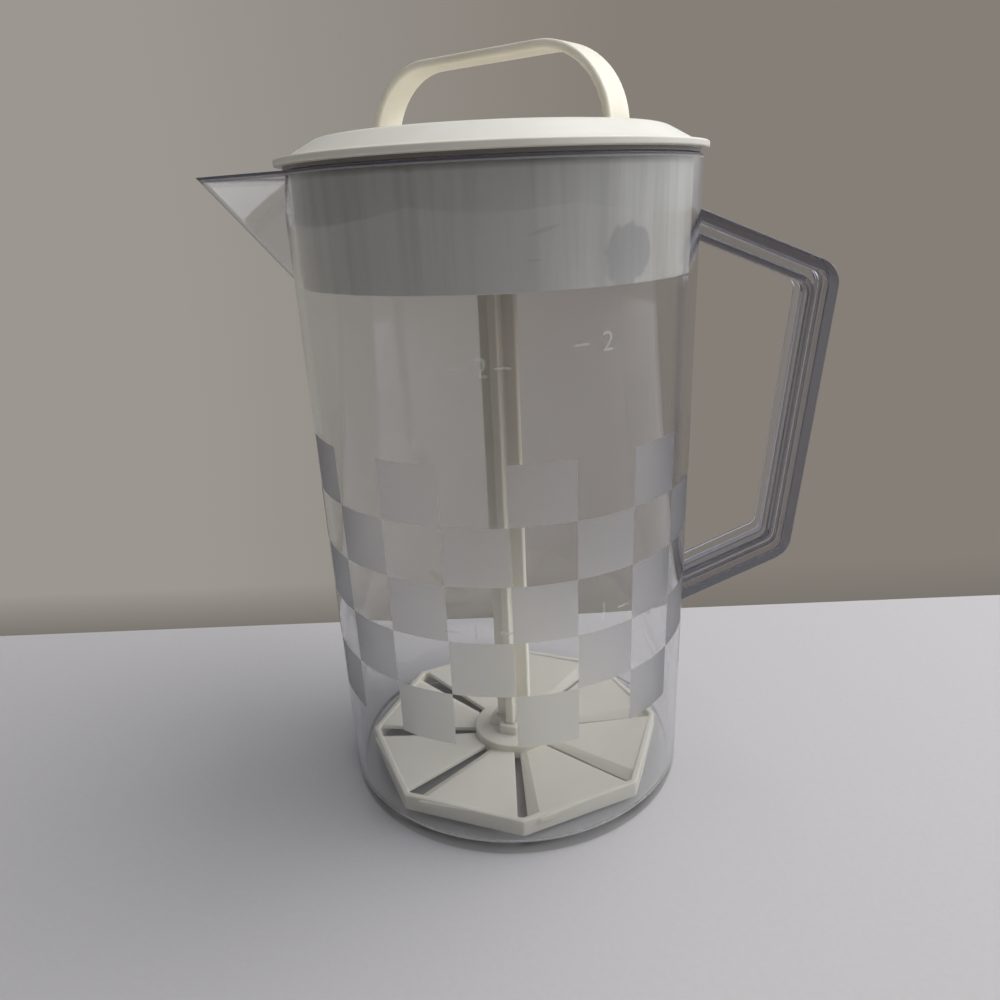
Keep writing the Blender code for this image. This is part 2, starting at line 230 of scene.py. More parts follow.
def clearSan(name, tint, density, flow, checked=False):
    # moulded SAN: water-clear, glossy, its thick edges dark and bright; the squares are etched in the mould
    look, tree = emptyMaterial(name)
    place = addNode(tree, "TexCoord").outputs["Object"]
    spots = addNode(tree, "TexNoise", {"Vector": place, "Scale": 1 / clear["hazeGrain"], "Detail": 4,
                                       "Roughness": 0.6})
    haze = addNode(tree, "MapRange", (spots, *clear["hazeRange"]))
    roughness = addNode(tree, "MapRange", (haze, 0, 1, clear["polish"], clear["polish"] + clear["hazePolish"]))
    white = addNode(tree, "Math", (haze, clear["hazeWhite"]), operation="MULTIPLY")
    height = addNode(tree, "TexNoise", {"Vector": place, "Scale": 1 / clear["flowGrain"]})
    height = addNode(tree, "Math", (height, flow), operation="MULTIPLY")
    shadow, cloud = colour(clear["shadow"]), colour(clear["haze"])
    if checked:
        x, y, z = addNode(tree, "SeparateXYZ", (place,)).outputs
        etched = etchedSquares(tree, place, x, y, z)
        grain = addNode(tree, "TexNoise", {"Vector": place, "Scale": 1 / clear["frostGrain"], "Detail": 3,
                                           "Roughness": 0.7})
        grain = addNode(tree, "Math", (etched, grain), operation="MULTIPLY")
        height = addNode(tree, "Math", (grain, clear["frostBump"], height), operation="MULTIPLY_ADD")
        height = addNode(tree, "Math", (etched, clear["frostSink"], height), operation="MULTIPLY_ADD")
        roughness = addNode(tree, "Math", (etched, clear["frost"], roughness), operation="MULTIPLY_ADD")
        white = addNode(tree, "Math", (etched, clear["frostWhite"], white), operation="MULTIPLY_ADD")
        shadow = addNode(tree, "Mix", {0: etched, 6: shadow, 7: colour(clear["frostShadow"])}, data_type="RGBA")
        # the etched squares' lavender tint is painted light, standing in for the bluish light from the sheet that
        # they scatter
        cloud = addNode(tree, "Mix", {0: etched, 6: cloud, 7: colour(clear["etch"])}, data_type="RGBA")
        # the underside is scuffed from standing on tables
        scuff = addNode(tree, "MapRange", (z, *clear["scuffHeights"], 0.0, clear["baseScuff"]))
        white = addNode(tree, "Math", (white, scuff), operation="MAXIMUM")
        # painted shade: light that enters at the rim runs down inside the wall, which leaves the edge dark, so the
        # top of the wall is painted dark
        lip = addNode(tree, "MapRange", (z, jug["height"] - clear["lipTall"], jug["height"] - clear["lipTall"] / 2))
        cloud = addNode(tree, "Mix", {0: lip, 6: cloud, 7: colour(clear["lip"])}, data_type="RGBA")
        lip = addNode(tree, "Math", (lip, clear["lipShare"]), operation="MULTIPLY")
        white = addNode(tree, "Math", (white, lip), operation="MAXIMUM")
    bump = addNode(tree, "Bump", {"Strength": clear["bumpStrength"], "Distance": clear["bumpDistance"],
                                  "Height": height})
    glass = addNode(tree, "BsdfPrincipled", {
        "Base Color": colour(clear["body"]), "Roughness": roughness, "IOR": clear["ior"],
        "Transmission Weight": 1.0, "Normal": bump})
    frost = addNode(tree, "BsdfPrincipled", {
        "Base Color": cloud, "Roughness": clear["cloudRoughness"], "Normal": bump})
    surface = addNode(tree, "MixShader", (white, glass, frost))
    # lamps and soft light pass straight through, so that what stands inside the jug is lit
    path = addNode(tree, "LightPath")
    soft = addNode(tree, "Math", (path.outputs["Is Shadow Ray"], path.outputs["Is Diffuse Ray"]), operation="MAXIMUM")
    mixed = addNode(tree, "MixShader", (soft, surface, addNode(tree, "BsdfTransparent", (shadow,))))
    body = addNode(tree, "VolumeAbsorption", {"Color": colour(tint), "Density": density})
    addNode(tree, "OutputMaterial", {"Surface": mixed, "Volume": body})
    return look


ivory = dict(
    ior=1.49, roughness=0.36, mattRoughness=0.52, shineRange=(-0.05, 0.06),
    depth=0.004, scatter=(1.0, 0.9, 0.75), glow=0.08, mattGlow=0.2,
    mottle=0.03, mottleRange=(0.35, 0.7), flow=0.022, flowRange=(0.3, 0.7),
    grain=0.0005, grainBump=0.25, wave=0.02, waveBump=3.0,
    bumpStrength=0.12, bumpDistance=0.0003,
    lidTones=("#e6e5df", "#dedbd1"), archTones=("#e8e4d8", "#dbd5c5"), mattTones=("#e6e2d5", "#dbd6c6"),
)
lidWearAndShade = dict(
    skirtRadius=0.063,
    # the grey called film is painted shade on the skirt, heavy at the front and left
    film="#bab7b3", shadeTurns=(-85, -25), shadeShares=(0.9, 0.05),
    streakAndShade="#97958d", runRadius=0.062, runSquash=0.04, runSlice=0.3, runGrain=0.006,
    runRange=(0.46, 0.7), runShare=0.42,
    stain="#8f8e92", stainTurn=-55.4, stainHeight=0.1934, stainRadius=0.0094, stainShare=0.5,
    stainFade=(0.0038, 0.0026), ragGrain=0.007, ragDepth=0.009, nickFade=(1.0, 0.3), nickShare=0.3,
    nicks=[(-78.5, 0.2009, 0.0052, 0.0007, 15), (-81.1, 0.1935, 0.0024, 0.0004, 2),
           (-109.1, 0.2165, 0.0011, 0.0005, 0), (-147.1, 0.2125, 0.0006, 0.0016, 0),
           (-145.5, 0.2075, 0.0005, 0.0012, 0),
           (-132.9, 0.2013, 0.0009, 0.0005, 30)],  # degrees round the skirt, height, long, tall, lean
    # painted shadow under the flange, and painted shade on the flange's upright edge
    flangeShadow="#4a423c", flangeShadowFoot=0.2158, flangeShadowTop=0.2186, flangeShadowShare=0.9, flangeStart=0.0014,
    flangeEdgeShadeTop=0.2225, flangeEdgeShadeFade=0.0006, flangeEdgeShadeShare=0.45,
)
# painted light at the foot of the rod and the wheel, painted shade on the rod towards the lid
plungerLightAndShade = dict(
    paintedLight="#f4efe0", paintedLightHeights=(0.01, 0.03), paintedLightShares=(0.2, 0.95), paintedLightFade=(0.05, 0.1),
    paintedShade="#b4a998", paintedShadeHeights=(0.06, 0.13), paintedShadeShare=0.9,
)


def wornAndShadedLid(tree, place, tone):
    # the marks of use on the lid and painted shade on its skirt and flange, each a colour laid over the last one
    x, y, z = addNode(tree, "SeparateXYZ", (place,)).outputs
    turn = addNode(tree, "Math", (y, x), operation="ARCTAN2")
    skirt = addNode(tree, "Math", (z, jug["height"]), operation="LESS_THAN")
    layers = []
    # painted shade: the skirt is greyed, heavily at the front and left, less and less towards the lit side by the
    # handle
    first, last = (math.radians(angle) for angle in lidWearAndShade["shadeTurns"])
    film = addNode(tree, "MapRange", (turn, first, last, *lidWearAndShade["shadeShares"]))
    layers.append((addNode(tree, "Math", (skirt, film), operation="MULTIPLY"), lidWearAndShade["film"]))
    # dried runs down the skirt, a few millimetres wide: a noise that is squashed along the height
    sideways = addNode(tree, "Math", (turn, lidWearAndShade["runRadius"]), operation="MULTIPLY")
    down = addNode(tree, "Math", (z, lidWearAndShade["runSquash"]), operation="MULTIPLY")
    drawn = addNode(tree, "CombineXYZ", (sideways, down, lidWearAndShade["runSlice"]))
    runs = addNode(tree, "TexNoise", {"Vector": drawn, "Scale": 1 / lidWearAndShade["runGrain"], "Detail": 4,
                                      "Roughness": 0.6})
    runs = addNode(tree, "MapRange", (runs, *lidWearAndShade["runRange"], 0.0, lidWearAndShade["runShare"]))
    layers.append((addNode(tree, "Math", (runs, skirt), operation="MULTIPLY"), lidWearAndShade["streakAndShade"]))
    # one grey patch with a ragged outline
    across = addNode(tree, "Math", (turn, math.radians(lidWearAndShade["stainTurn"])), operation="SUBTRACT")
    across = addNode(tree, "Math", (across, lidWearAndShade["skirtRadius"]), operation="MULTIPLY")
    up = addNode(tree, "Math", (z, lidWearAndShade["stainHeight"]), operation="SUBTRACT")
    away = addNode(tree, "VectorMath", (addNode(tree, "CombineXYZ", (across, up, 0.0)),), operation="LENGTH")
    rag = addNode(tree, "TexNoise", {"Vector": place, "Scale": 1 / lidWearAndShade["ragGrain"], "Detail": 4,
                                     "Roughness": 0.6})
    away = addNode(tree, "Math", (rag, lidWearAndShade["ragDepth"], away), operation="MULTIPLY_ADD")
    outer, inner = (lidWearAndShade["stainRadius"] + fade for fade in lidWearAndShade["stainFade"])
    patch = addNode(tree, "MapRange", (away, outer, inner, 0.0, lidWearAndShade["stainShare"]))
    layers.append((addNode(tree, "Math", (patch, skirt), operation="MULTIPLY"), lidWearAndShade["stain"]))
    # short scuffs, each a small slanted oval
    for nickTurn, nickHeight, long, tall, lean in lidWearAndShade["nicks"]:
        sideways = addNode(tree, "Math", (turn, math.radians(nickTurn)), operation="SUBTRACT")
        sideways = addNode(tree, "Math", (sideways, lidWearAndShade["skirtRadius"]), operation="MULTIPLY")
        lift = addNode(tree, "Math", (z, nickHeight), operation="SUBTRACT")
        oval = addNode(tree, "Mapping", (addNode(tree, "CombineXYZ", (sideways, lift, 0.0)), (0, 0, 0),
                                         (0, 0, math.radians(lean)), (long, tall, 1.0)), vector_type="TEXTURE")
        oval = addNode(tree, "VectorMath", (oval, oval), operation="DOT_PRODUCT")
        nick = addNode(tree, "MapRange", (oval, *lidWearAndShade["nickFade"], 0.0, lidWearAndShade["nickShare"]))
        layers.append((nick, lidWearAndShade["stain"]))
    # painted shadow: a dark brown band under the flange, where the flange shades the skirt and the seat
    flangeShadow = addNode(tree, "MapRange", (z, lidWearAndShade["flangeShadowFoot"], lidWearAndShade["flangeShadowTop"], 0.0, lidWearAndShade["flangeShadowShare"]))
    under = addNode(tree, "Math", (z, jug["height"] + lidWearAndShade["flangeStart"]), operation="LESS_THAN")
    layers.append((addNode(tree, "Math", (flangeShadow, under), operation="MULTIPLY"), lidWearAndShade["flangeShadow"]))
    # painted shade: the flange's upright edge is greyed all round, darker than the lit top
    flangeEdgeShade = addNode(tree, "MapRange", (z, lidWearAndShade["flangeEdgeShadeTop"], lidWearAndShade["flangeEdgeShadeTop"] - lidWearAndShade["flangeEdgeShadeFade"],
                                      0.0, lidWearAndShade["flangeEdgeShadeShare"]))
    over = addNode(tree, "Math", (z, jug["height"] + lidWearAndShade["flangeStart"]), operation="GREATER_THAN")
    layers.append((addNode(tree, "Math", (flangeEdgeShade, over), operation="MULTIPLY"), lidWearAndShade["streakAndShade"]))
    for share, hexCode in layers:
        tone = addNode(tree, "Mix", {0: share, 6: tone, 7: colour(hexCode)}, data_type="RGBA")
    return tone


def paintPlungerLightAndShade(tree, place, tone):
    # painted light and shade: paler towards the foot, where the sheet throws light up, and a painted brown shade
    # towards the lid, whose shadow falls on the rod
    z = addNode(tree, "SeparateXYZ", (place,)).outputs["Z"]
    litFoot = addNode(tree, "MapRange", (z, *plungerLightAndShade["paintedLightHeights"], *plungerLightAndShade["paintedLightShares"]))
    fade = addNode(tree, "MapRange", (z, *plungerLightAndShade["paintedLightFade"], 1.0, 0.0))
    litFoot = addNode(tree, "Math", (litFoot, fade), operation="MULTIPLY")
    paintedShade = addNode(tree, "MapRange", (z, *plungerLightAndShade["paintedShadeHeights"], 0.0, plungerLightAndShade["paintedShadeShare"]))
    for share, hexCode in ((litFoot, plungerLightAndShade["paintedLight"]), (paintedShade, plungerLightAndShade["paintedShade"])):
        tone = addNode(tree, "Mix", {0: share, 6: tone, 7: colour(hexCode)}, data_type="RGBA")
    return tone


def ivoryPolypropylene(name, tones, roughness, glow, wear=None):
    # moulded polypropylene: waxy and softly glossy, faint flow marks and a slight warm mottle from use
    look, tree = emptyMaterial(name)
    place = addNode(tree, "TexCoord").outputs["Object"]
    mottle = addNode(tree, "TexNoise", {"Vector": place, "Scale": 1 / ivory["mottle"], "Detail": 5,
                                        "Roughness": 0.6})
    mottle = addNode(tree, "MapRange", (mottle, *ivory["mottleRange"]))
    base, warm = (colour(hexCode) for hexCode in tones)
    tone = addNode(tree, "Mix", {0: mottle, 6: base, 7: warm}, data_type="RGBA")
    flow = addNode(tree, "TexNoise", {"Vector": place, "Scale": 1 / ivory["flow"], "Detail": 3})
    least, most = (roughness + change for change in ivory["shineRange"])
    shine = addNode(tree, "MapRange", (flow, *ivory["flowRange"], least, most))
    # the given function lays its colours over the tone: marks of use, painted light and painted shade
    if wear:
        tone = wear(tree, place, tone)
    grain = addNode(tree, "TexNoise", {"Vector": place, "Scale": 1 / ivory["grain"], "Detail": 2})
    grain = addNode(tree, "Math", (grain, ivory["grainBump"]), operation="MULTIPLY")
    wave = addNode(tree, "TexNoise", {"Vector": place, "Scale": 1 / ivory["wave"], "Detail": 1})
    height = addNode(tree, "Math", (wave, ivory["waveBump"], grain), operation="MULTIPLY_ADD")
    bump = addNode(tree, "Bump", {"Strength": ivory["bumpStrength"], "Distance": ivory["bumpDistance"],
                                  "Height": height})
    plastic = addNode(tree, "BsdfPrincipled", {
        "Base Color": tone, "Roughness": shine, "IOR": ivory["ior"], "Normal": bump,
        "Subsurface Weight": glow, "Subsurface Scale": ivory["depth"], "Subsurface Radius": ivory["scatter"]})
    addNode(tree, "OutputMaterial", {"Surface": plastic})
    return look


jugClear = clearSan("clearSanJug", clear["jugDepth"], clear["jugDensity"], clear["jugFlow"], checked=True)
handleClear = clearSan("clearSanHandle", clear["handleDepth"], clear["handleDensity"], clear["handleFlow"])
lidIvory = ivoryPolypropylene("ivoryPolypropyleneLid", ivory["lidTones"], ivory["roughness"], ivory["glow"], wornAndShadedLid)
archIvory = ivoryPolypropylene("ivoryPolypropyleneArch", ivory["archTones"], ivory["roughness"], ivory["glow"])
mattIvory = ivoryPolypropylene("mattIvoryPolypropylene", ivory["mattTones"], ivory["mattRoughness"],
                               ivory["mattGlow"], paintPlungerLightAndShade)
print("materials ready")


def spoutPrism(inset, share, top):
    # the spout's pointed outline at the rim, pushed inwards and down along its keel
    nose = spout["noseRound"] - inset
    centre = spout["reach"] - spout["noseRound"]
    half = spout["halfWidth"]
    rootX = math.sqrt(jug["rimRadius"] ** 2 - half ** 2)
    span = math.hypot(centre - rootX, half)
    flank = math.atan2(half, centre - rootX) - math.asin(spout["noseRound"] / span)
    far = 90 - math.degrees(flank)
    outline = arcPoints(-centre, 0, nose, 180 + far, 180 - far, spout["noseSteps"])
    run = math.sqrt(span ** 2 - spout["noseRound"] ** 2) + half / 2
    backX = outline[-1][0] + run * math.cos(flank)
    backY = outline[-1][1] + run * math.sin(flank)
    outline += [(backX, backY), (backX, -backY)]
    lean = (spout["reach"] - wallRadius(jug["height"] - spout["depth"])) / spout["depth"]
    drop = spout["depth"] * share + overrun
    return slab(outline, (lean * drop, 0, -drop), Matrix.Translation((-lean * top, 0, jug["height"] + top)))


def wallRows(bottom, top, inset):
    # evenly spaced rows down a straight wall, so that faces near the spout stay small
    rows = jug["rows"]
    heights = [top + (bottom - top) * row / rows for row in range(rows + 1)]
    return [(wallRadius(height) - inset, height) for height in heights]


def buildJugBody():
    edge, lip = jug["baseEdge"], jug["rimEdge"]
    outer = [(0, jug["height"])]
    outer += arcPoints(jug["rimRadius"] - lip, jug["height"] - lip, lip, 90, 0, jug["rimSteps"])
    outer += wallRows(edge, jug["height"] - 2 * lip, 0)
    outer += arcPoints(wallRadius(edge) - edge, edge, edge, 0, -90, jug["baseSteps"])[1:] + [(0, 0)]
    body = newObject("jugBody", lathe(outer, jug["steps"]))
    combine(body, spoutPrism(0, spout["rootShare"], 0), "UNION")

    corner, bottom = jug["floorCorner"], jug["floor"]
    middle = wallRadius(bottom + corner) - jug["wall"] - corner
    over = jug["height"] + overrun
    bore = [(0, over), (wallRadius(over) - jug["wall"], over)]
    bore += wallRows(bottom + corner, jug["height"] - jug["boreTop"], jug["wall"])
    bore += arcPoints(middle, bottom + corner, corner, 0, -90, jug["cornerSteps"])[1:] + [(0, bottom)]
    combine(body, lathe(bore, jug["steps"]), "DIFFERENCE")
    combine(body, spoutPrism(spout["wall"], spout["hollowRootShare"], overrun), "DIFFERENCE")

    # the lip of the spout is softened, not the rim beside it
    shape = bmesh.new()
    shape.from_mesh(body.data)
    bmesh.ops.remove_doubles(shape, verts=shape.verts, dist=weld["cut"])
    near, past = jug["height"] - 0.00005, jug["rimRadius"] + spout["lipFrom"]
    softenEdges(shape, spout["lipRound"], spout["lipSteps"], 50, lambda edge: all(
        vert.co.z > near and math.hypot(vert.co.x, vert.co.y) > past for vert in edge.verts))
    shape.to_mesh(body.data)
    shape.free()
    return finishPiece(body, "jug", "jug_body", jugClear, sharp=30)


buildJugBody()


handle = dict(
    corners=[(0.1076, 0.1808), (0.0986, 0.0861)], upperRoot=0.1987, lowerRoot=0.0703,
    upperDepth=0.0092, gripDepth=0.0099, lowerDepth=0.0108, width=0.015, web=0.0034,
    outerRound=0.009, innerRound=0.004, outerRail=0.0037, innerRail=0.0023,
    edgeRound=0.0006, edgeSteps=3, arcSteps=18, touching=0.0006,
)


def handleLine(side, inset):
    # one long line of the handle: outer side 1, inner side -1, moved in by the inset
    centre = [Vector((wallRadius(handle["upperRoot"]), handle["upperRoot"]))]
    centre += [Vector(corner) for corner in handle["corners"]]
    centre += [Vector((wallRadius(handle["lowerRoot"]), handle["lowerRoot"]))]
    runs = []
    depths = handle["upperDepth"], handle["gripDepth"], handle["lowerDepth"]
    for start, end, depth in zip(centre, centre[1:], depths):
        along = (end - start).normalized()
        runs.append((start + Vector((-along.y, along.x)) * side * (depth / 2 - inset), along))
    taper = (jug["rimRadius"] - jug["baseRadius"]) / jug["height"]
    ends = []
    for spot, along in (runs[0], runs[2]):  # where the arm meets the tapered wall
        reach = (jug["baseRadius"] + taper * spot.y + gap - spot.x) / (along.x - taper * along.y)
        ends.append(tuple(spot + along * reach))
    corners = [ends[0]]
    for (first, one), (second, two) in zip(runs, runs[1:]):
        apart = second - first
        corners.append(tuple(first + one * (apart.x * two.y - apart.y * two.x) / (one.x * two.y - one.y * two.x)))
    corners.append(ends[1])
    bend = handle["outerRound"] - inset if side > 0 else handle["innerRound"] + inset
    return rounded(corners, [0, bend, bend, 0], handle["arcSteps"])


def buildJugHandle():
    lines = [handleLine(1, 0), handleLine(1, handle["outerRail"]),
             handleLine(-1, handle["innerRail"]), handleLine(-1, 0)]
    shape = bmesh.new()
    halfWeb, halfWidth = handle["web"] / 2, handle["width"] / 2
    rows = [[shape.verts.new((x, -halfWeb, z)) for x, z in line] for line in lines]
    chains = [[shape.edges.new(pair) for pair in zip(row, row[1:])] for row in rows]
    for first, second in zip(chains, chains[1:]):
        bmesh.ops.bridge_loops(shape, edges=first + second)
    railFaces = [face for face in shape.faces
                 if all(vert in rows[0] + rows[1] for vert in face.verts)
                 or all(vert in rows[2] + rows[3] for vert in face.verts)]
    railSpots = {tuple(round(value, 6) for value in face.calc_center_median().xz) for face in railFaces}
    grown = bmesh.ops.extrude_face_region(shape, geom=shape.faces[:])
    bmesh.ops.translate(shape, vec=(0, 2 * halfWeb, 0),
                        verts=[item for item in grown["geom"] if isinstance(item, bmesh.types.BMVert)])
    bmesh.ops.recalc_face_normals(shape, faces=shape.faces)
    for side in (-1, 1):  # the two rails stand out from the web on both sides
        rails = [face for face in shape.faces if face.normal.y * side > 0.9
                 and tuple(round(value, 6) for value in face.calc_center_median().xz) in railSpots]
        grown = bmesh.ops.extrude_face_region(shape, geom=rails)
        bmesh.ops.translate(shape, vec=(0, side * (halfWidth - halfWeb), 0),
                            verts=[item for item in grown["geom"] if isinstance(item, bmesh.types.BMVert)])
        bmesh.ops.delete(shape, geom=rails, context="FACES_ONLY")
    bmesh.ops.remove_doubles(shape, verts=shape.verts, dist=weld["cut"])
    bmesh.ops.recalc_face_normals(shape, faces=shape.faces)
    softenEdges(shape, handle["edgeRound"], handle["edgeSteps"], 50, lambda edge: not all(
        vert.co.x < wallRadius(vert.co.z) + handle["touching"] for vert in edge.verts))
    for vert in shape.verts:  # the arms' ends follow the round wall
        if vert.co.x < wallRadius(vert.co.z) + handle["touching"]:
            vert.co.x = math.sqrt((wallRadius(vert.co.z) + gap) ** 2 - vert.co.y ** 2)
    piece = newObject("jugHandle", shape)
    return finishPiece(piece, "jug", "jug_handle", handleClear)


buildJugHandle()


lid = dict(
    seatHeight=0.0012, seatInset=0.001, overhang=0.00165, flange=0.002, flangeEdge=0.0005,
    ledge=0.00325, slope=29.0, footRound=0.006, crownRound=0.008, rise=0.0055, wall=0.0016,
    skirt=0.0336, skirtGap=0.0003, wellFloor=0.002, lipRound=0.0004,
    steps=200, lipSteps=3, edgeSteps=5, crownSteps=12,
)
rod = dict(span=0.0133, fin=0.0034, grip=0.008, turn=-19.0, edge=0.0007, edgeSteps=4)
plunger = dict(
    discRadius=0.0485, discEdge=0.0024, discDome=0.0008, discRound=0.0005, domeSteps=12, roundSteps=4,
    bossRadius=0.010, bossDepth=0.0105,
    halfSpan=0.047, flatHalf=0.022, rise=0.0232, sink=0.0013, width=0.012, thickness=0.0026,
    edge=0.0011, edgeSteps=5, turn=-38.0, curveSteps=28,
)
wheel = dict(
    radius=0.058, sides=8, turn=-88.6, frame=0.0065, frameWall=0.0023, frameEdge=0.0006,
    hub=0.016, hubHeight=0.0060, hubEdge=0.0005, hubSteps=96,
    collar=0.0035, collarWall=0.002, collarRound=0.0016, collarEdge=0.0005, socketFloor=0.0014,
    vane=0.0018, vaneDrop=0.003, vaneDip=0.0032, vaneUnder=0.0001, vaneEdge=0.0003,
    vaneBite=0.001, vaneReach=0.7, rootDrop=0.001, rootCrease=0.0001,
    slotInner=0.0022, slotOuter=0.0036, creaseInner=0.0026, creaseOuter=0.0044, creaseDrop=0.0005,
)
flangeUnder = jug["height"] + gap + lid["seatHeight"]
flangeTop = flangeUnder + lid["flange"]
crownEdge = flangeTop + lid["rise"]
discUnder = crownEdge - plunger["discEdge"]
recessFloor = discUnder - gap
bossBottom = discUnder - plunger["bossDepth"]
wellTop = bossBottom - gap
wellUnder = wellTop - lid["wellFloor"]
rodTop = bossBottom + rod["grip"]
wheelBottom = jug["floor"] + gap
frameTop = wheelBottom + wheel["frame"]
hubTop = wheelBottom + wheel["hubHeight"]
collarTop = hubTop + wheel["collar"]
rodBottom = wheelBottom + wheel["socketFloor"] + gap


def crossOutline(grown):
    # the rod's plus-shaped section, grown all round
    half, fin = rod["span"] / 2 + grown, rod["fin"] / 2 + grown
    points = []
    for quarter in range(4):
        turn = Matrix.Rotation(math.radians(90 * quarter + rod["turn"]), 2)
        points += [tuple(turn @ Vector(spot)) for spot in ((half, -fin), (half, fin), (fin, fin))]
    return points


def cross(grown, bottom, top):
    return slab(crossOutline(grown), (0, 0, top - bottom), Matrix.Translation((0, 0, bottom)))


def uprightEdge(edge):
    first, second = edge.verts
    return abs(first.co.z - second.co.z) > 0.9 * edge.calc_length()


def buildLid():
    flangeRadius = jug["rimRadius"] + lid["overhang"]
    foot = flangeRadius - lid["ledge"]
    slope = math.tan(math.radians(lid["slope"]))
    crownRadius = foot - lid["rise"] / slope
    wallDrop = lid["wall"] * math.hypot(1, slope)
    recessRadius = plunger["discRadius"] + gap
    wellRadius = plunger["bossRadius"] + gap
    skirtBottom = jug["height"] - lid["skirt"]
    skirtTopRadius = wallRadius(jug["height"]) - jug["wall"] - lid["skirtGap"]
    skirtLowRadius = wallRadius(skirtBottom) - jug["wall"] - lid["skirtGap"]
    skirtInner = skirtTopRadius - lid["wall"]
    under = recessFloor - lid["wall"]
    crownUnder = crownEdge - lid["wall"]
    edge, lip = lid["flangeEdge"], lid["lipRound"]
    profile = [(0, wellUnder), (wellRadius + lid["wall"], wellUnder), (wellRadius + lid["wall"], under)]
    profile += [(recessRadius + lid["wall"], under), (recessRadius + lid["wall"], crownUnder)]
    profile += [(foot - (crownUnder + wallDrop - flangeTop) / slope, crownUnder)]
    profile += [(skirtInner, flangeTop + (foot - skirtInner) * slope - wallDrop)]
    profile += [(skirtLowRadius - lid["wall"], skirtBottom + lip)]
    profile += arcPoints(skirtLowRadius - lid["wall"] + lip, skirtBottom + lip, lip, 180, 270, lid["lipSteps"])[1:]
    profile += arcPoints(skirtLowRadius - lip, skirtBottom + lip, lip, -90, 0, lid["lipSteps"])
    seatRadius, seat = jug["rimRadius"] - lid["seatInset"], jug["height"] + gap
    profile += [(skirtTopRadius, seat), (seatRadius, seat), (seatRadius, flangeUnder)]
    profile += arcPoints(flangeRadius - edge, flangeUnder + edge, edge, -90, 0, lid["edgeSteps"])
    profile += arcPoints(flangeRadius - edge, flangeTop - edge, edge, 0, 90, lid["edgeSteps"])
    shoulder = [(flangeRadius - edge, flangeTop), (foot, flangeTop), (crownRadius, crownEdge),
                (recessRadius + lip, crownEdge), (recessRadius, crownEdge - lip)]
    profile += rounded(shoulder, [0, lid["footRound"], lid["crownRound"], 0, 0], lid["crownSteps"])[1:]
    profile += [(recessRadius, recessFloor), (wellRadius, recessFloor), (wellRadius, wellTop), (0, wellTop)]
    piece = newObject("lidShell", lathe(profile, lid["steps"]))
    combine(piece, cross(gap, wellUnder - overrun, wellTop + overrun), "DIFFERENCE")
    return finishPiece(piece, "lid", "lid", lidIvory)


buildLid()


def archSide(outward):
    # one side of the arch, from its foot to the end of its flat top
    reach = plunger["halfSpan"] - plunger["flatHalf"] - outward
    rise = plunger["rise"] + plunger["sink"] - outward
    foot = crownEdge - plunger["sink"]
    turns = [math.pi / 2 * step / plunger["curveSteps"] for step in range(plunger["curveSteps"] + 1)]
    return [(plunger["flatHalf"] + reach * math.cos(turn), foot + rise * math.sin(turn)) for turn in turns]


def buildPlungerHandle():
    edge = plunger["discRound"]
    profile = []
    for step in range(plunger["domeSteps"] + 1):
        share = step / plunger["domeSteps"]
        profile.append(((plunger["discRadius"] - edge) * share, crownEdge + plunger["discDome"] * (1 - share ** 2)))
    profile += arcPoints(plunger["discRadius"] - edge, crownEdge - edge, edge, 90, 0, plunger["roundSteps"])[1:]
    profile += [(plunger["discRadius"], discUnder), (plunger["bossRadius"], discUnder)]
    profile += [(plunger["bossRadius"], bossBottom), (0, bossBottom)]
    piece = newObject("plungerHandle", lathe(profile, lid["steps"]))

    outer, inner = archSide(0), archSide(plunger["thickness"])
    outline = outer + [(-x, z) for x, z in outer[::-1]] + [(-x, z) for x, z in inner] + inner[::-1]
    strap = slab(outline, (0, 0, plunger["width"]), Matrix.Translation((0, 0, -plunger["width"] / 2)))
    softenEdges(strap, plunger["edge"], plunger["edgeSteps"], 60)
    turn = Matrix.Rotation(math.radians(plunger["turn"]), 4, "Z") @ Matrix.Rotation(math.radians(90), 4, "X")
    bmesh.ops.transform(strap, matrix=turn, verts=strap.verts)
    combine(piece, strap, "UNION")
    combine(piece, cross(gap, bossBottom - overrun, rodTop + gap), "DIFFERENCE")
    return finishPiece(piece, "plunger", "plunger_handle", archIvory)


buildPlungerHandle()


def buildPlungerRod():
    shape = cross(0, rodBottom, rodTop)
    softenEdges(shape, rod["edge"], rod["edgeSteps"], 60, uprightEdge)
    return finishPiece(newObject("plungerRod", shape), "plunger", "plunger_rod", mattIvory)


buildPlungerRod()


def wheelFrame():
    shape = bmesh.new()
    bmesh.ops.create_circle(shape, cap_ends=True, segments=wheel["sides"], radius=wheel["radius"])
    corner = shape.verts[:][0].co.copy()
    inset = bmesh.ops.inset_region(shape, faces=shape.faces[:], thickness=wheel["frameWall"],
                                   use_boundary=True, use_even_offset=True)
    middle = [face for face in shape.faces if face not in inset["faces"]]
    bmesh.ops.delete(shape, geom=middle, context="FACES")
    grown = bmesh.ops.extrude_face_region(shape, geom=shape.faces[:])
    bmesh.ops.translate(shape, vec=(0, 0, wheel["frame"]),
                        verts=[item for item in grown["geom"] if isinstance(item, bmesh.types.BMVert)])
    bmesh.ops.recalc_face_normals(shape, faces=shape.faces)
    softenEdges(shape, wheel["frameEdge"], 3, 30)
    turn = math.radians(wheel["turn"]) - math.atan2(corner.y, corner.x)
    place = Matrix.Translation((0, 0, wheelBottom)) @ Matrix.Rotation(turn, 4, "Z")
    bmesh.ops.transform(shape, matrix=place, verts=shape.verts)
    return shape


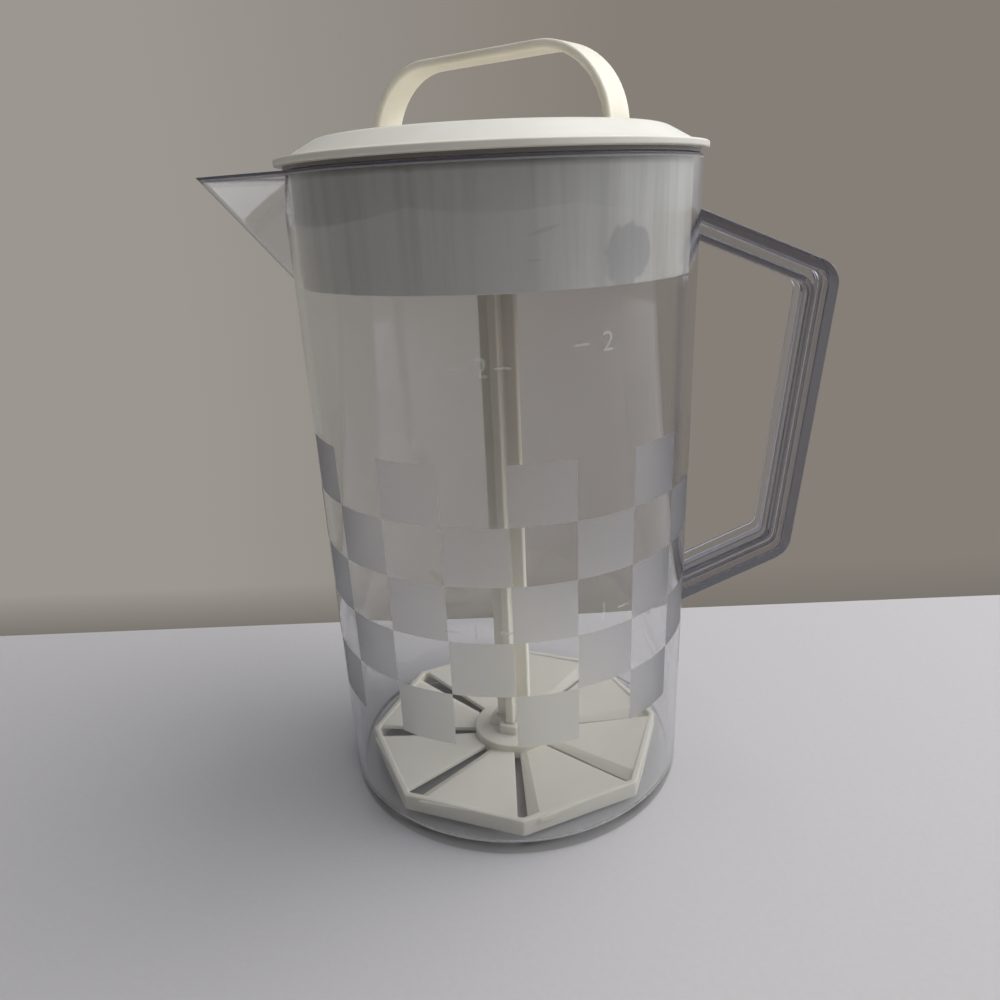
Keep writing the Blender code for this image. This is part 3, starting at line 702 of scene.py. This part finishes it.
def vane(index):
    # a pitched blade: a steep leading strip, then a nearly level face up to its far edge
    start = math.radians(wheel["turn"] + 360 / wheel["sides"] * index)
    end = start + math.tau / wheel["sides"]
    inner, reach = wheel["hub"] - wheel["vaneBite"], wheel["radius"] - wheel["frameWall"] * wheel["vaneReach"]
    shape = bmesh.new()
    root = frameTop - wheel["vaneDip"]
    halfInner, halfOuter = wheel["slotInner"] / 2, wheel["slotOuter"] / 2
    edges = ((start, halfInner, halfOuter, root - wheel["rootDrop"], frameTop - wheel["vaneDrop"]),
             (start, halfInner + wheel["creaseInner"], halfOuter + wheel["creaseOuter"],
              root - wheel["rootCrease"], frameTop - wheel["creaseDrop"]),
             (end, -halfInner, -halfOuter, root, frameTop - wheel["vaneUnder"]))
    for turn, near, far, rootLevel, rimLevel in edges:
        along = Vector((math.cos(turn), math.sin(turn)))
        across = Vector((-along.y, along.x))
        ends = (along * inner + across * near, rootLevel), (along * reach + across * far, rimLevel)
        for spot, height in ends:
            for level in (height, height - wheel["vane"]):
                shape.verts.new((*spot, level))
    bmesh.ops.convex_hull(shape, input=shape.verts)
    bmesh.ops.dissolve_limit(shape, angle_limit=math.radians(1), verts=shape.verts, edges=shape.edges)
    bmesh.ops.recalc_face_normals(shape, faces=shape.faces)
    softenEdges(shape, wheel["vaneEdge"], 2, 25)
    return shape


def buildStirringWheel():
    piece = newObject("stirringWheel", wheelFrame())
    edge = wheel["hubEdge"]
    hub = [(0, wheelBottom), (wheel["hub"] - edge, wheelBottom)]
    hub += arcPoints(wheel["hub"] - edge, wheelBottom + edge, edge, -90, 0, 3)[1:]
    hub += arcPoints(wheel["hub"] - edge, hubTop - edge, edge, 0, 90, 4) + [(0, hubTop)]
    combine(piece, lathe(hub, wheel["hubSteps"]), "UNION")
    for index in range(wheel["sides"]):
        combine(piece, vane(index), "UNION")
    seat = wheelBottom + wheel["socketFloor"]
    collar = cross(gap + wheel["collarWall"], seat, collarTop)
    softenEdges(collar, wheel["collarRound"], 4, 60, uprightEdge)
    softenEdges(collar, wheel["collarEdge"], 3, 60,
                lambda edge: all(vert.co.z > collarTop - 0.0001 for vert in edge.verts))
    combine(piece, collar, "UNION")
    combine(piece, cross(gap, seat, collarTop + overrun), "DIFFERENCE")
    return finishPiece(piece, "plunger", "stirring_wheel", mattIvory)


buildStirringWheel()


marks = dict(
    depth=0.00025, rootShare=0.3, dashLong=0.0045, dashTall=0.0007, numberTall=0.0055, capShare=0.7,
    spots=[("-", -106.0, 0.0857), ("1", -99.5, 0.0857), ("-", -91.0, 0.0857),
           ("1", -63.5, 0.0882), ("-", -57.0, 0.0882),
           ("-", -100.0, 0.1663), ("2", -94.5, 0.1663), ("-", -89.5, 0.1663),
           ("-", -70.0, 0.1710), ("2", -63.0, 0.1710)],  # sign, degrees round the wall, height
    ink="#d9d9d8", inkRoughness=0.45, wearGrain=0.002, wearRange=(0.35, 0.65), wearShares=(0.1, 0.26),
)


def buildLevelMarks():
    # short dashes and plain numbers, raised a little on the outer wall
    shape = bmesh.new()
    for sign, turn, height in marks["spots"]:
        before = set(shape.verts)
        if sign == "-":
            bmesh.ops.create_cube(shape, size=1, matrix=Matrix.Diagonal(
                (marks["dashLong"], marks["dashTall"], marks["depth"], 1)))
        else:
            words = bpy.data.curves.new("number", "FONT")
            words.body, words.size, words.extrude = sign, marks["numberTall"] / marks["capShare"], marks["depth"] / 2
            words.align_x, words.align_y = "CENTER", "CENTER"
            holder = bpy.data.objects.new("number", words)
            bpy.context.scene.collection.objects.link(holder)
            graph = bpy.context.evaluated_depsgraph_get()
            shape.from_mesh(bpy.data.meshes.new_from_object(holder.evaluated_get(graph)))
            bpy.data.objects.remove(holder)
        for vert in (vert for vert in shape.verts if vert not in before):
            level = height + vert.co.y
            radius = wallRadius(level) + marks["depth"] * marks["rootShare"] + vert.co.z
            angle = math.radians(turn) + vert.co.x / radius
            vert.co = (radius * math.cos(angle), radius * math.sin(angle), level)
    bmesh.ops.remove_doubles(shape, verts=shape.verts, dist=weld["mark"])
    bmesh.ops.recalc_face_normals(shape, faces=shape.faces)
    # the jug's own SAN, raised in the mould and worn, so that it shows as a faint pale film
    look, tree = emptyMaterial("raisedSanMark")
    place = addNode(tree, "TexCoord").outputs["Object"]
    wear = addNode(tree, "TexNoise", {"Vector": place, "Scale": 1 / marks["wearGrain"], "Detail": 3})
    wear = addNode(tree, "MapRange", (wear, *marks["wearRange"], *marks["wearShares"]))
    film = addNode(tree, "BsdfTransparent", {"Color": colour("#ffffff")})
    ink = addNode(tree, "BsdfPrincipled", {"Base Color": colour(marks["ink"]), "Roughness": marks["inkRoughness"]})
    addNode(tree, "OutputMaterial", {"Surface": addNode(tree, "MixShader", (wear, film, ink))})
    piece = newObject("levelMarks", shape)
    return finishPiece(piece, "jug", None, look)


buildLevelMarks()


studio = dict(
    floorSize=12, floorDrop=0.0001, floor="#bfbdbf", floorBounce="#e0dfdd", floorRoughness=0.8, floorShine=0.2,
    paperGrain=0.002, paperRange=(0.3, 0.7), paperShades=(0.97, 1.0),
    wallLeft="#9c9891", wallRight="#867f78", wallRange=(-0.35, 0.14), wallFootShadow="#7b766f", wallLine=0.107, fade=0.05,
    roomDark="#2e3034", roomMiddle="#8d8b88", roomBright="#f1f3f6", roomRange=(-0.2, 0.7),
    overheadRise=(0.5, 0.85), overheadSide=(-0.3, 0.5), overheadRange=(0.5, 1.0), overheadGlow=5.0,
    windowSide=(0.4, 1.0), windowRise=(-0.1, 0.4), windowGlow=3.2, asideRange=(0.6, 0.85),
    ambient=0.24, daylight=1.7, aim=(0, 0, 0.12),
    lamps=[("keyLamp", 18.0, 1.3, (0.75, 0.15, 1.25)),
           ("sideLamp", 3.8, 0.9, (1.3, 0.1, 0.35))],  # name, watts, size, place
    bounces=16, glossyBounces=12, clearBounces=24,
)
camera = dict(place=(0.0, -0.2829, 0.2089), yaw=-0.41, pitch=20.18, roll=-2.56, lens=29.52, sensor=36.0,
              clip=(0.01, 50))


def wallTone(tree, direction):
    # painted shade across the backdrop: the wall is lighter on the left and darker on the right
    x = addNode(tree, "SeparateXYZ", (direction,)).outputs["X"]
    share = addNode(tree, "MapRange", (x, *studio["wallRange"]))
    return addNode(tree, "Mix", {0: share, 6: colour(studio["wallLeft"]), 7: colour(studio["wallRight"])},
                   data_type="RGBA")


def buildFloor():
    bpy.ops.mesh.primitive_plane_add(size=studio["floorSize"], location=(0, 0, -studio["floorDrop"]))
    floor = bpy.context.object
    floor.name = "studioFloor"
    # matt drawing paper, even and soft; its fibres are too fine to show and are drawn 2 mm coarse
    look, tree = emptyMaterial("palePaper")
    place = addNode(tree, "TexCoord").outputs["Object"]
    y = addNode(tree, "SeparateXYZ", (place,)).outputs["Y"]
    grain = addNode(tree, "TexNoise", {"Vector": place, "Scale": 1 / studio["paperGrain"], "Detail": 3})
    grain = addNode(tree, "MapRange", (grain, *studio["paperRange"], *studio["paperShades"]))
    # the sheet throws more light up at the jug than it shows
    bounced = addNode(tree, "LightPath").outputs["Is Diffuse Ray"]
    shown = addNode(tree, "Mix", {0: bounced, 6: colour(studio["floor"]), 7: colour(studio["floorBounce"])},
                    data_type="RGBA")
    paper = addNode(tree, "VectorMath", {0: shown, "Scale": grain}, operation="SCALE")
    sheet = addNode(tree, "BsdfPrincipled", {
        "Base Color": paper, "Roughness": studio["floorRoughness"], "Specular IOR Level": studio["floorShine"]})
    # behind the sheet the ground takes the tone of the backdrop, with a painted shadow along the foot of the wall
    rise = addNode(tree, "MapRange", (y, studio["wallLine"], studio["wallLine"] + studio["fade"]))
    ahead = addNode(tree, "VectorMath", (place, camera["place"]), operation="SUBTRACT")
    ahead = addNode(tree, "VectorMath", (ahead,), operation="NORMALIZE")
    tone = addNode(tree, "Mix", {0: rise, 6: colour(studio["wallFootShadow"]), 7: wallTone(tree, ahead)}, data_type="RGBA")
    back = addNode(tree, "Emission", {"Color": tone, "Strength": 1.0})
    behind = addNode(tree, "Math", (y, studio["wallLine"]), operation="GREATER_THAN")
    addNode(tree, "OutputMaterial", {"Surface": addNode(tree, "MixShader", (behind, sheet, back))})
    floor.data.materials.append(look)


def buildWorld():
    world = bpy.data.worlds.new("softStudio")
    bpy.context.scene.world = world
    world.use_nodes = True
    tree = world.node_tree
    tree.nodes.clear()
    path = addNode(tree, "LightPath").outputs
    seen = path["Is Camera Ray"]
    for ray in ("Is Glossy Ray", "Is Transmission Ray"):
        seen = addNode(tree, "Math", (seen, path[ray]), operation="MAXIMUM")
    # the plastic mirrors a dim room: dark behind the camera, lighter by the wall, a window on the right
    place = addNode(tree, "TexCoord").outputs["Generated"]
    x, y, z = addNode(tree, "SeparateXYZ", (place,)).outputs
    depth = addNode(tree, "MapRange", (y, *studio["roomRange"]))
    room = addNode(tree, "Mix", {0: depth, 6: colour(studio["roomDark"]), 7: colour(studio["roomMiddle"])},
                   data_type="RGBA")
    bright = []
    for rise, side in (("overheadRise", "overheadSide"), ("windowRise", "windowSide")):
        up = addNode(tree, "MapRange", (z, *studio[rise]))
        across = addNode(tree, "MapRange", (x, *studio[side]))
        bright.append(addNode(tree, "Math", (up, across), operation="MULTIPLY"))
    overhead, window = bright
    daylight = addNode(tree, "Math", (window, studio["daylight"], studio["ambient"]), operation="MULTIPLY_ADD")
    soft = addNode(tree, "Background", {"Color": colour("#ffffff"), "Strength": daylight})
    either = addNode(tree, "Math", (overhead, window), operation="MAXIMUM")
    room = addNode(tree, "Mix", {0: either, 6: room, 7: colour(studio["roomBright"])}, data_type="RGBA")
    # bent rays far to the right and every mirrored ray see the room, all others the plain wall
    aside = addNode(tree, "MapRange", (x, *studio["asideRange"]))
    aside = addNode(tree, "Math", (aside, path["Is Transmission Ray"]), operation="MULTIPLY")
    mirrored = addNode(tree, "Math", (path["Glossy Depth"], 0.5), operation="GREATER_THAN")
    mirrored = addNode(tree, "Math", (mirrored, aside), operation="MAXIMUM")
    tone = addNode(tree, "Mix", {0: mirrored, 6: wallTone(tree, place), 7: room}, data_type="RGBA")
    glow = addNode(tree, "MapRange", (overhead, *studio["overheadRange"], 0.0, studio["overheadGlow"]))
    shine = addNode(tree, "Math", (window, studio["windowGlow"]), operation="MULTIPLY")
    glow = addNode(tree, "Math", (glow, shine), operation="MAXIMUM")
    strength = addNode(tree, "Math", (mirrored, glow, 1.0), operation="MULTIPLY_ADD")
    wall = addNode(tree, "Background", {"Color": tone, "Strength": strength})
    addNode(tree, "OutputWorld", {"Surface": addNode(tree, "MixShader", (seen, soft, wall))})


def buildLamps():
    for name, power, size, spot in studio["lamps"]:
        light = bpy.data.lights.new(name, "AREA")
        light.shape, light.size, light.energy = "SQUARE", size, power
        lamp = bpy.data.objects.new(name, light)
        bpy.context.scene.collection.objects.link(lamp)
        lamp.location = spot
        lamp.rotation_euler = (Vector(studio["aim"]) - Vector(spot)).to_track_quat("-Z", "Y").to_euler()
        # the window in the world stands in for what the plastic would mirror of them
        lamp.visible_camera = False
        lamp.visible_glossy = False
        lamp.visible_transmission = False


def buildCamera():
    yaw, pitch, roll = (math.radians(camera[name]) for name in ("yaw", "pitch", "roll"))
    ahead = Vector((math.sin(yaw) * math.cos(pitch), math.cos(yaw) * math.cos(pitch), -math.sin(pitch)))
    right = Vector((math.cos(yaw), -math.sin(yaw), 0))
    above = right.cross(ahead)
    leaned = math.cos(roll) * right + math.sin(roll) * above
    upward = -math.sin(roll) * right + math.cos(roll) * above
    lens = bpy.data.cameras.new("photoCamera")
    lens.lens, lens.sensor_width, lens.sensor_fit = camera["lens"], camera["sensor"], "HORIZONTAL"
    lens.clip_start, lens.clip_end = camera["clip"]
    holder = bpy.data.objects.new("photoCamera", lens)
    bpy.context.scene.collection.objects.link(holder)
    turn = Matrix((leaned, upward, -ahead)).transposed()
    holder.matrix_world = Matrix.Translation(camera["place"]) @ turn.to_4x4()
    bpy.context.scene.camera = holder


buildFloor()
buildWorld()
buildLamps()
buildCamera()
# many clear walls stand one behind the other
cycles = bpy.context.scene.cycles
cycles.max_bounces = cycles.transmission_bounces = studio["bounces"]
cycles.glossy_bounces, cycles.transparent_max_bounces = studio["glossyBounces"], studio["clearBounces"]
bpy.context.scene.view_settings.view_transform = "Standard"
print("studio ready")
